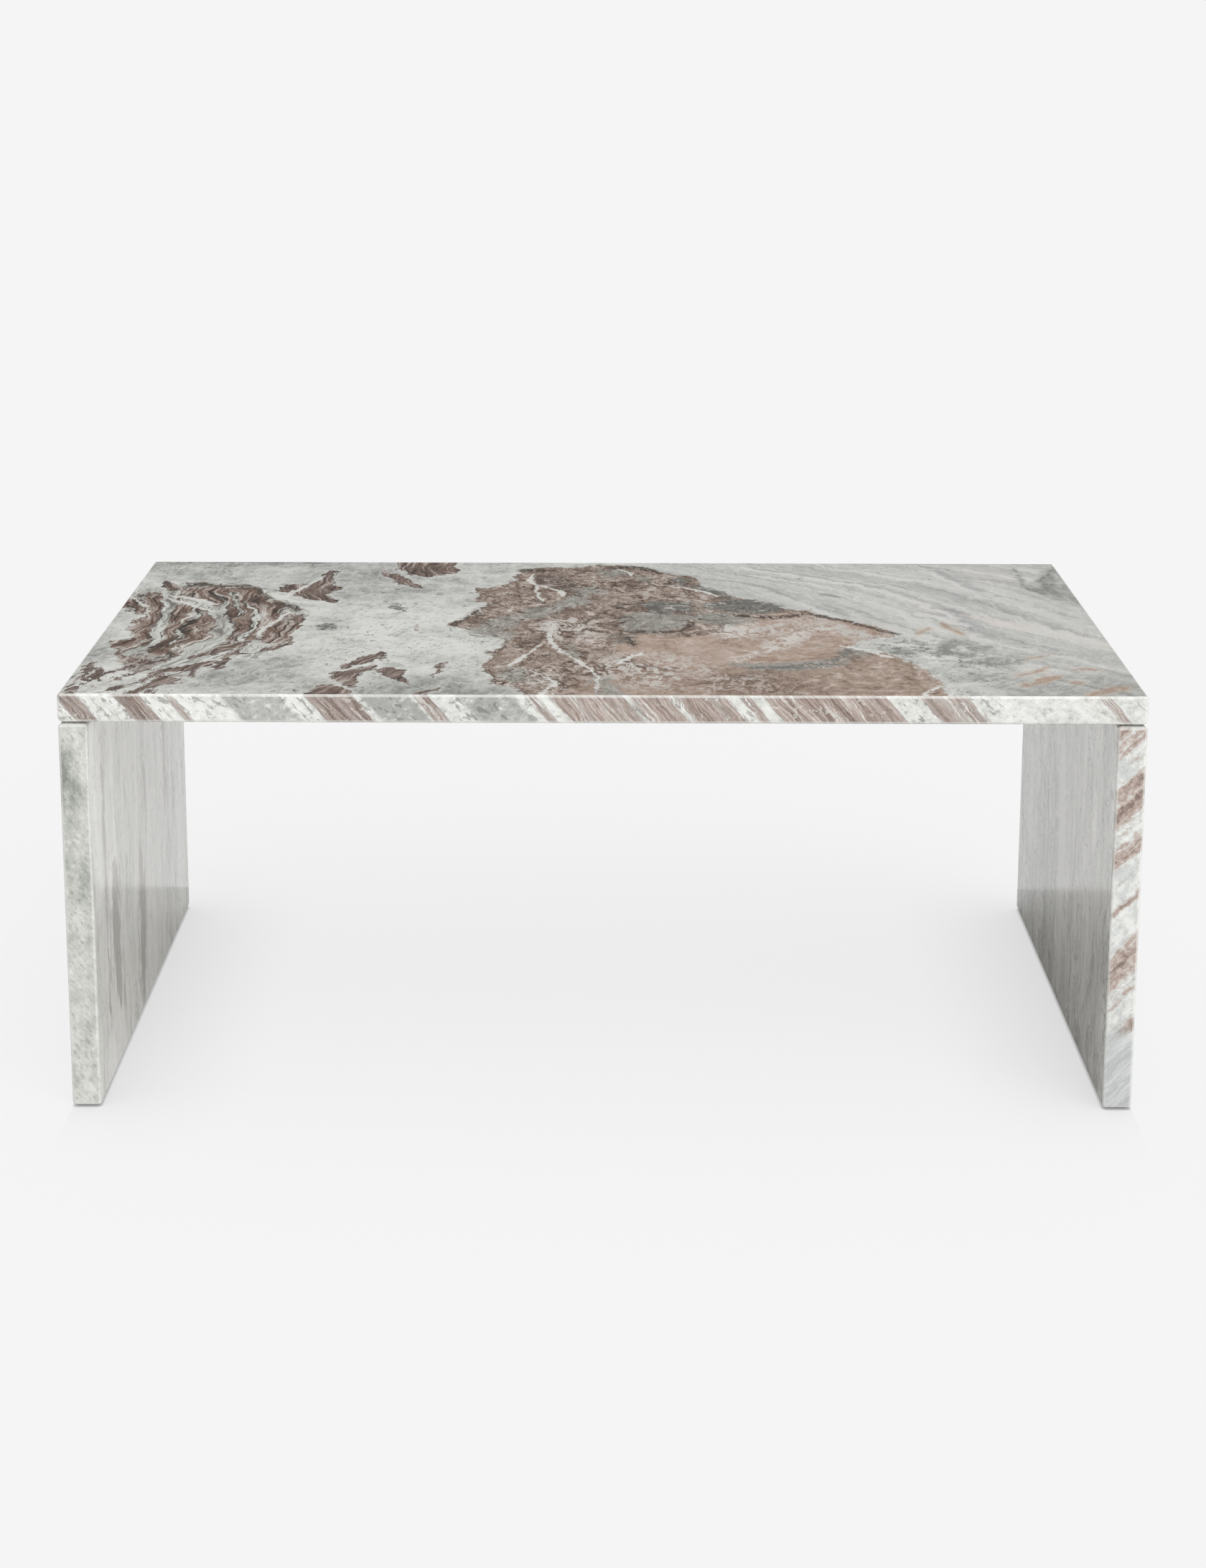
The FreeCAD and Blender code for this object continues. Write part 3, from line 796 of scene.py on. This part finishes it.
dowel_steel, steel_shader, (x, y, z) = new_finish("dowel_steel")
ground_lines = cloud((x, y, z), (0.006, 0.006, 0.0004), 3.0, 0.6, 2.0)
plain_finish(steel_shader, ground_lines, (142, 143, 144), (186, 187, 188), 0.28, 0.15)
steel_shader.inputs["Metallic"].default_value = 1.0
sides = ("left", "right")
rows = ("front", "middle", "rear")
for side in sides:
    for row in rows:
        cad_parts[side + "_" + row + "_dowel"].material_slots[0].material = dowel_steel


# Resin beds
# A thin bed of dark grey stone adhesive between each leg and the top, pressed out to the eased edges.
# It cures matt, with small bubbles and dust in it, and shows as a thin dark line along the joint.

bed_resin, resin_shader, (x, y, z) = new_finish("bed_resin")
bubbles = cloud((x, y, z), (0.003, 0.003, 0.003), 3.0, 0.6, 6.0)
plain_finish(resin_shader, bubbles, (98, 96, 93), (150, 147, 143), 0.45, 0.2)
for side in sides:
    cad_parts[side + "_resin_bed"].material_slots[0].material = bed_resin


# Legs
# Two slabs of the same marble set on edge under the ends of the top, flush with it all round.
# Their layers stand upright: the wide faces show long streaks, and the narrow ones a cut across them.

leg_arris = top_arris


def upright_layers(place, start, sway):
    """Broad and fine streaks, threads and curls up a leg, which sway by some metres, as noise about 0.5."""
    x, y, z = place
    y = y + (cloud(place, (0.20, 0.06, 0.08), 3.0, 0.5, start) - 0.5) * sway
    wavy = y + (cloud(place, (0.20, 0.024, 0.040), 3.0, 0.5, start + 2.0) - 0.5) * 0.010
    broad = cloud((x, y, z), (0.12, 0.030, 0.30), 5.0, 0.70, start + 5.0)
    fine = cloud((x, wavy, z), (0.12, 0.0140, 0.10), 5.0, 0.70, start + 9.0)
    threads = cloud((x, wavy, z), (0.12, 0.014, 0.16), 4.0, 0.66, start + 7.0)
    curls = cloud((x, wavy, z), (0.12, 0.050, 0.090), 4.0, 0.62, start + 13.0)
    return broad, fine, threads, curls


left_leg = eased_slab("stone_left_leg", "left_leg", joint_arris, leg_arris)
left_stone, left_shader, (x, y, z) = new_finish("left_leg_stone")
spot = (x, y, z)
broad, fine, threads, curls = upright_layers(spot, 3.0, 0.016)
marble = (broad * 0.55 + fine * 0.45).tints([
    (0.15, (242, 242, 238)), (0.42, (231, 231, 226)), (0.62, (219, 219, 214)), (0.90, (160, 158, 152)),
])
marble = marble.covered((152, 148, 141), threads.near(0.55, 0.05) * 0.32)
marble = marble.covered((240, 240, 236), curls.near(0.60, 0.05) * 0.40)
marble = marble.covered((158, 155, 148), curls.near(0.36, 0.05) * 0.30)
tawny_streaks = [
    [(0.060, -0.172, 0.005), (0.110, -0.178, 0.024), (0.170, -0.184, 0.026), (0.225, -0.180, 0.008)],
    [(0.010, -0.034, 0.010), (0.080, -0.030, 0.024), (0.150, -0.026, 0.018), (0.200, -0.030, 0.004)],
    [(0.180, 0.150, 0.004), (0.270, 0.146, 0.014), (0.340, 0.148, 0.024), (0.420, 0.144, 0.020)],
    [(0.060, -0.235, 0.003), (0.150, -0.232, 0.005), (0.380, -0.238, 0.003)],
]
tawny_depth = lines((y, z), tawny_streaks) + (fine - 0.5) * 0.030
tawny = fine.tints([(0.1, (112, 103, 94)), (0.9, (178, 171, 163))])
marble = marble.covered(tawny, tawny_depth.ease(-0.006, 0.010) * 0.80)
mottle = cloud(spot, (0.020, 0.020, 0.028), 6.0, 0.72, 17.0)
front_greyness = mottle * 0.55 + pool((x, z), -0.545, 0.345, 0.022, 0.060) * 0.32
front_greyness = front_greyness + pool((x, z), -0.535, 0.245, 0.030, 0.05) * 0.12
front_colour = front_greyness.tints([
    (0.0, (222, 222, 217)), (0.28, (197, 198, 192)), (0.55, (168, 170, 164)), (0.85, (124, 126, 120)),
])
speck = cloud((x + z * 0.8, y, z - x * 0.8), (0.0042, 0.01, 0.0100), 4.0, 0.6, 83.0)
front_colour = front_colour.covered((132, 134, 127), speck.ease(0.60, 1.0) * 0.50)
front_colour = front_colour.covered((228, 228, 222), speck.ease(0.40, 0.0) * 0.45)
marble = marble.covered(front_colour, front_edge(y))
polish(left_shader, spot, marble, mottle, 0.10)
left_leg.data.materials.append(left_stone)
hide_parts("left_leg")
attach(left_leg, "root")

right_leg = eased_slab("stone_right_leg", "right_leg", joint_arris, leg_arris)
right_stone, right_shader, (x, y, z) = new_finish("right_leg_stone")
spot = (x, y, z)
broad, fine, threads, curls = upright_layers(spot, 31.0, 0.026)
marble = (broad * 0.45 + fine * 0.55).tints([
    (0.12, (236, 236, 231)), (0.38, (208, 208, 203)), (0.60, (191, 191, 186)), (0.90, (140, 138, 132)),
])
marble = marble.covered((132, 129, 122), threads.near(0.55, 0.05) * 0.45)
marble = marble.covered((226, 226, 221), curls.near(0.58, 0.045) * 0.70)
marble = marble.covered((112, 110, 103), curls.near(0.40, 0.045) * 0.55)
pale_streaks = [
    [(0.020, -0.012, 0.008), (0.120, -0.006, 0.020), (0.220, 0.000, 0.024), (0.310, 0.006, 0.008)],
    [(0.060, -0.160, 0.004), (0.150, -0.176, 0.010), (0.220, -0.168, 0.004)],
    [(0.300, -0.120, 0.004), (0.350, -0.132, 0.010), (0.412, -0.120, 0.006)],
    [(0.250, 0.130, 0.004), (0.330, 0.124, 0.012), (0.412, 0.130, 0.008)],
]
pale_depth = lines((y, z), pale_streaks) + (fine - 0.5) * 0.030
marble = marble.covered((226, 226, 221), pale_depth.ease(-0.006, 0.010) * 0.80)
climb = z - x + top_high.x
bent = (cloud(spot, (0.030, 1.0, 0.035), 3.0, 0.55, 25.0) - 0.5) * 0.006
cut = cloud((climb + bent, x + z, y), (0.010, 0.110, 0.40), 6.0, 0.78, 15.0)
grit = cloud(spot, (0.0075, 0.02, 0.0065), 4.0, 0.70, 39.0)
browning = (climb + bent).along([
    (0.000, 0.05), (0.086, 0.05), (0.094, 0.85), (0.102, 0.60), (0.110, 0.15), (0.126, 0.20),
    (0.138, 0.42), (0.150, 0.30), (0.162, 0.72), (0.188, 0.70), (0.200, 0.15), (0.232, 0.10),
    (0.240, 0.55), (0.248, 0.08), (0.280, 0.10), (0.292, 0.75), (0.306, 0.72), (0.318, 0.22),
    (0.328, 0.30), (0.340, 0.72), (0.372, 0.70), (0.384, 0.12), (0.402, 0.18), (0.410, 0.68),
    (0.420, 0.35), (0.428, 0.60), (0.450, 0.40),
])
front_colour = (cut * 0.75 + grit * 0.55 + browning * 0.9 - 0.60).tints([
    (0.08, (228, 229, 225)), (0.34, (205, 206, 202)), (0.48, (198, 190, 184)), (0.60, (186, 171, 162)),
    (0.80, (166, 148, 138)), (1.0, (128, 112, 103)),
])
grey_drift = cloud(spot, (0.018, 0.02, 0.030), 4.0, 0.62, 71.0).ease(0.42, 0.78)
front_colour = front_colour.covered((178, 181, 180), grey_drift * browning.ease(0.55, 0.25) * 0.50)
foot_grey = pool((x, z), 0.535, 0.02, 0.06, 0.085).ease(0.0, 0.6)
foot_colour = cut.tints([(0.2, (206, 209, 208)), (0.8, (172, 176, 176))])
front_colour = front_colour.covered(foot_colour, foot_grey * 0.9)
marble = marble.covered(front_colour, front_edge(y))
polish(right_shader, spot, marble, fine, 0.10)
right_leg.data.materials.append(right_stone)
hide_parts("right_leg")
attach(right_leg, "root")


# Foot pads
# Three thin discs of pressed wool felt under each leg, punched from sheet.
# They are stuck on, set in from the edges, so that the stone stands clear of the floor.

pad_felt, felt_shader, (x, y, z) = new_finish("pad_felt")
wool = cloud((x, y, z), (0.0012, 0.0030, 0.0012), 4.0, 0.65, 8.0)
plain_finish(felt_shader, wool, (58, 57, 55), (98, 96, 92), 0.85, 0.1)
felt_shader.inputs["Sheen Weight"].default_value = 0.3
for side in sides:
    for row in rows:
        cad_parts[side + "_" + row + "_foot_pad"].material_slots[0].material = pad_felt


# Studio
# A plain pale floor that meets a background of the same white, and can be seen through from below.
# The sky is soft and brightest overhead, and one broad lamp stands at the front right.

floor_reach = 400.0
floor_corners = [
    (-2 * floor_reach, -floor_reach, 0.0), (2 * floor_reach, -floor_reach, 0.0),
    (0.0, 2 * floor_reach, 0.0),
]
floor_mesh = bpy.data.meshes.new("floor")
floor_mesh.from_pydata(floor_corners, [], [(0, 1, 2)])
floor = bpy.data.objects.new("floor", floor_mesh)
bpy.context.collection.objects.link(floor)

background_white = 0.905
pale_paint = (background_white, background_white, background_white, 1.0)
shadow_share = 0.13
shadow_reach = 0.37
contact_reach = 0.16
contact_shade = 0.30
gap_reach = 0.004
gap_shade = 0.85
floor_finish, unused_shader, (x, y, z) = new_finish("floor_finish")
floor_finish.node_tree.nodes.remove(unused_shader)


def mixed(surface, cover, share):
    """A surface with another laid over a share of it."""
    return surface.through("ShaderNodeMixShader", {0: share, 1: surface, 2: cover})


# The camera sees the background's white, shaded between the legs and dark in the gap below them.
paint = x.through("ShaderNodeBsdfDiffuse", {"Color": pale_paint})
glow = x.through("ShaderNodeEmission", {"Color": pale_paint})
between_legs = x.size().maths("LESS_THAN", top_high.x)
contact = x.through("ShaderNodeAmbientOcclusion", {"Distance": contact_reach}, output="AO")
contact_light = (contact.taken_from(1.0) * between_legs * contact_shade).taken_from(1.0)
gap = x.through("ShaderNodeAmbientOcclusion", {"Distance": gap_reach}, output="AO")
gap_light = gap * gap_shade + (1.0 - gap_shade)
floor_glow = x.through("ShaderNodeEmission", {"Color": pale_paint, "Strength": contact_light * gap_light})
shaded_floor = mixed(floor_glow, paint, shadow_share)

# The polish mirrors the floor's shadow near the table, and the background past it.
past_shadow = y.size().maths("GREATER_THAN", shadow_reach)
glossy_ray = x.through("ShaderNodeLightPath", {}, output="Is Glossy Ray")
camera_ray = x.through("ShaderNodeLightPath", {}, output="Is Camera Ray")
mirrored_floor = mixed(paint, glow, past_shadow * glossy_ray)
seen_floor = mixed(mirrored_floor, shaded_floor, camera_ray)
clear = x.through("ShaderNodeBsdfTransparent", {})
from_below = x.through("ShaderNodeNewGeometry", {}, output="Backfacing")
feed(floor_finish.node_tree.nodes["Material Output"], "Surface", mixed(seen_floor, clear, from_below))
floor.data.materials.append(floor_finish)

sky_rim = 0.05
sky_top = 1.45
world = bpy.data.worlds.new("studio")
bpy.context.scene.world = world
world.use_nodes = True
sky = world.node_tree.nodes["Background"]
sky.inputs["Color"].default_value = (1.0, 1.0, 1.0, 1.0)
direction = Field(world.node_tree, world.node_tree.nodes.new("ShaderNodeTexCoord").outputs["Generated"])
height = direction.through("ShaderNodeSeparateXYZ", {0: direction}, output="Z")
brightness = height.maths("POWER", 2.0) * (sky_top - sky_rim) + sky_rim
camera_ray = height.through("ShaderNodeLightPath", {}, output="Is Camera Ray")
feed(sky, "Strength", height.through("ShaderNodeMix", {0: camera_ray, 2: brightness, 3: background_white}))

lamp_data = bpy.data.lights.new("broad_lamp", "SUN")
lamp_data.energy = 1.75
lamp_data.angle = radians(70)
lamp = bpy.data.objects.new("broad_lamp", lamp_data)
lamp.rotation_euler = (radians(55), 0, radians(25))
lamp.visible_glossy = False
bpy.context.collection.objects.link(lamp)

camera_data = bpy.data.cameras.new("camera")
camera_data.sensor_width = 36.0
camera_data.lens = 61.666
camera_data.shift_y = -0.18
camera = bpy.data.objects.new("camera", camera_data)
camera.location = (0.0035, -2.9084, 1.1795)
camera.rotation_euler = (radians(90 - 11.601), 0, radians(0.082))
camera.rotation_euler.rotate_axis("Z", radians(0.140))
bpy.context.collection.objects.link(camera)
bpy.context.scene.camera = camera
bpy.context.scene.view_settings.view_transform = "Standard"
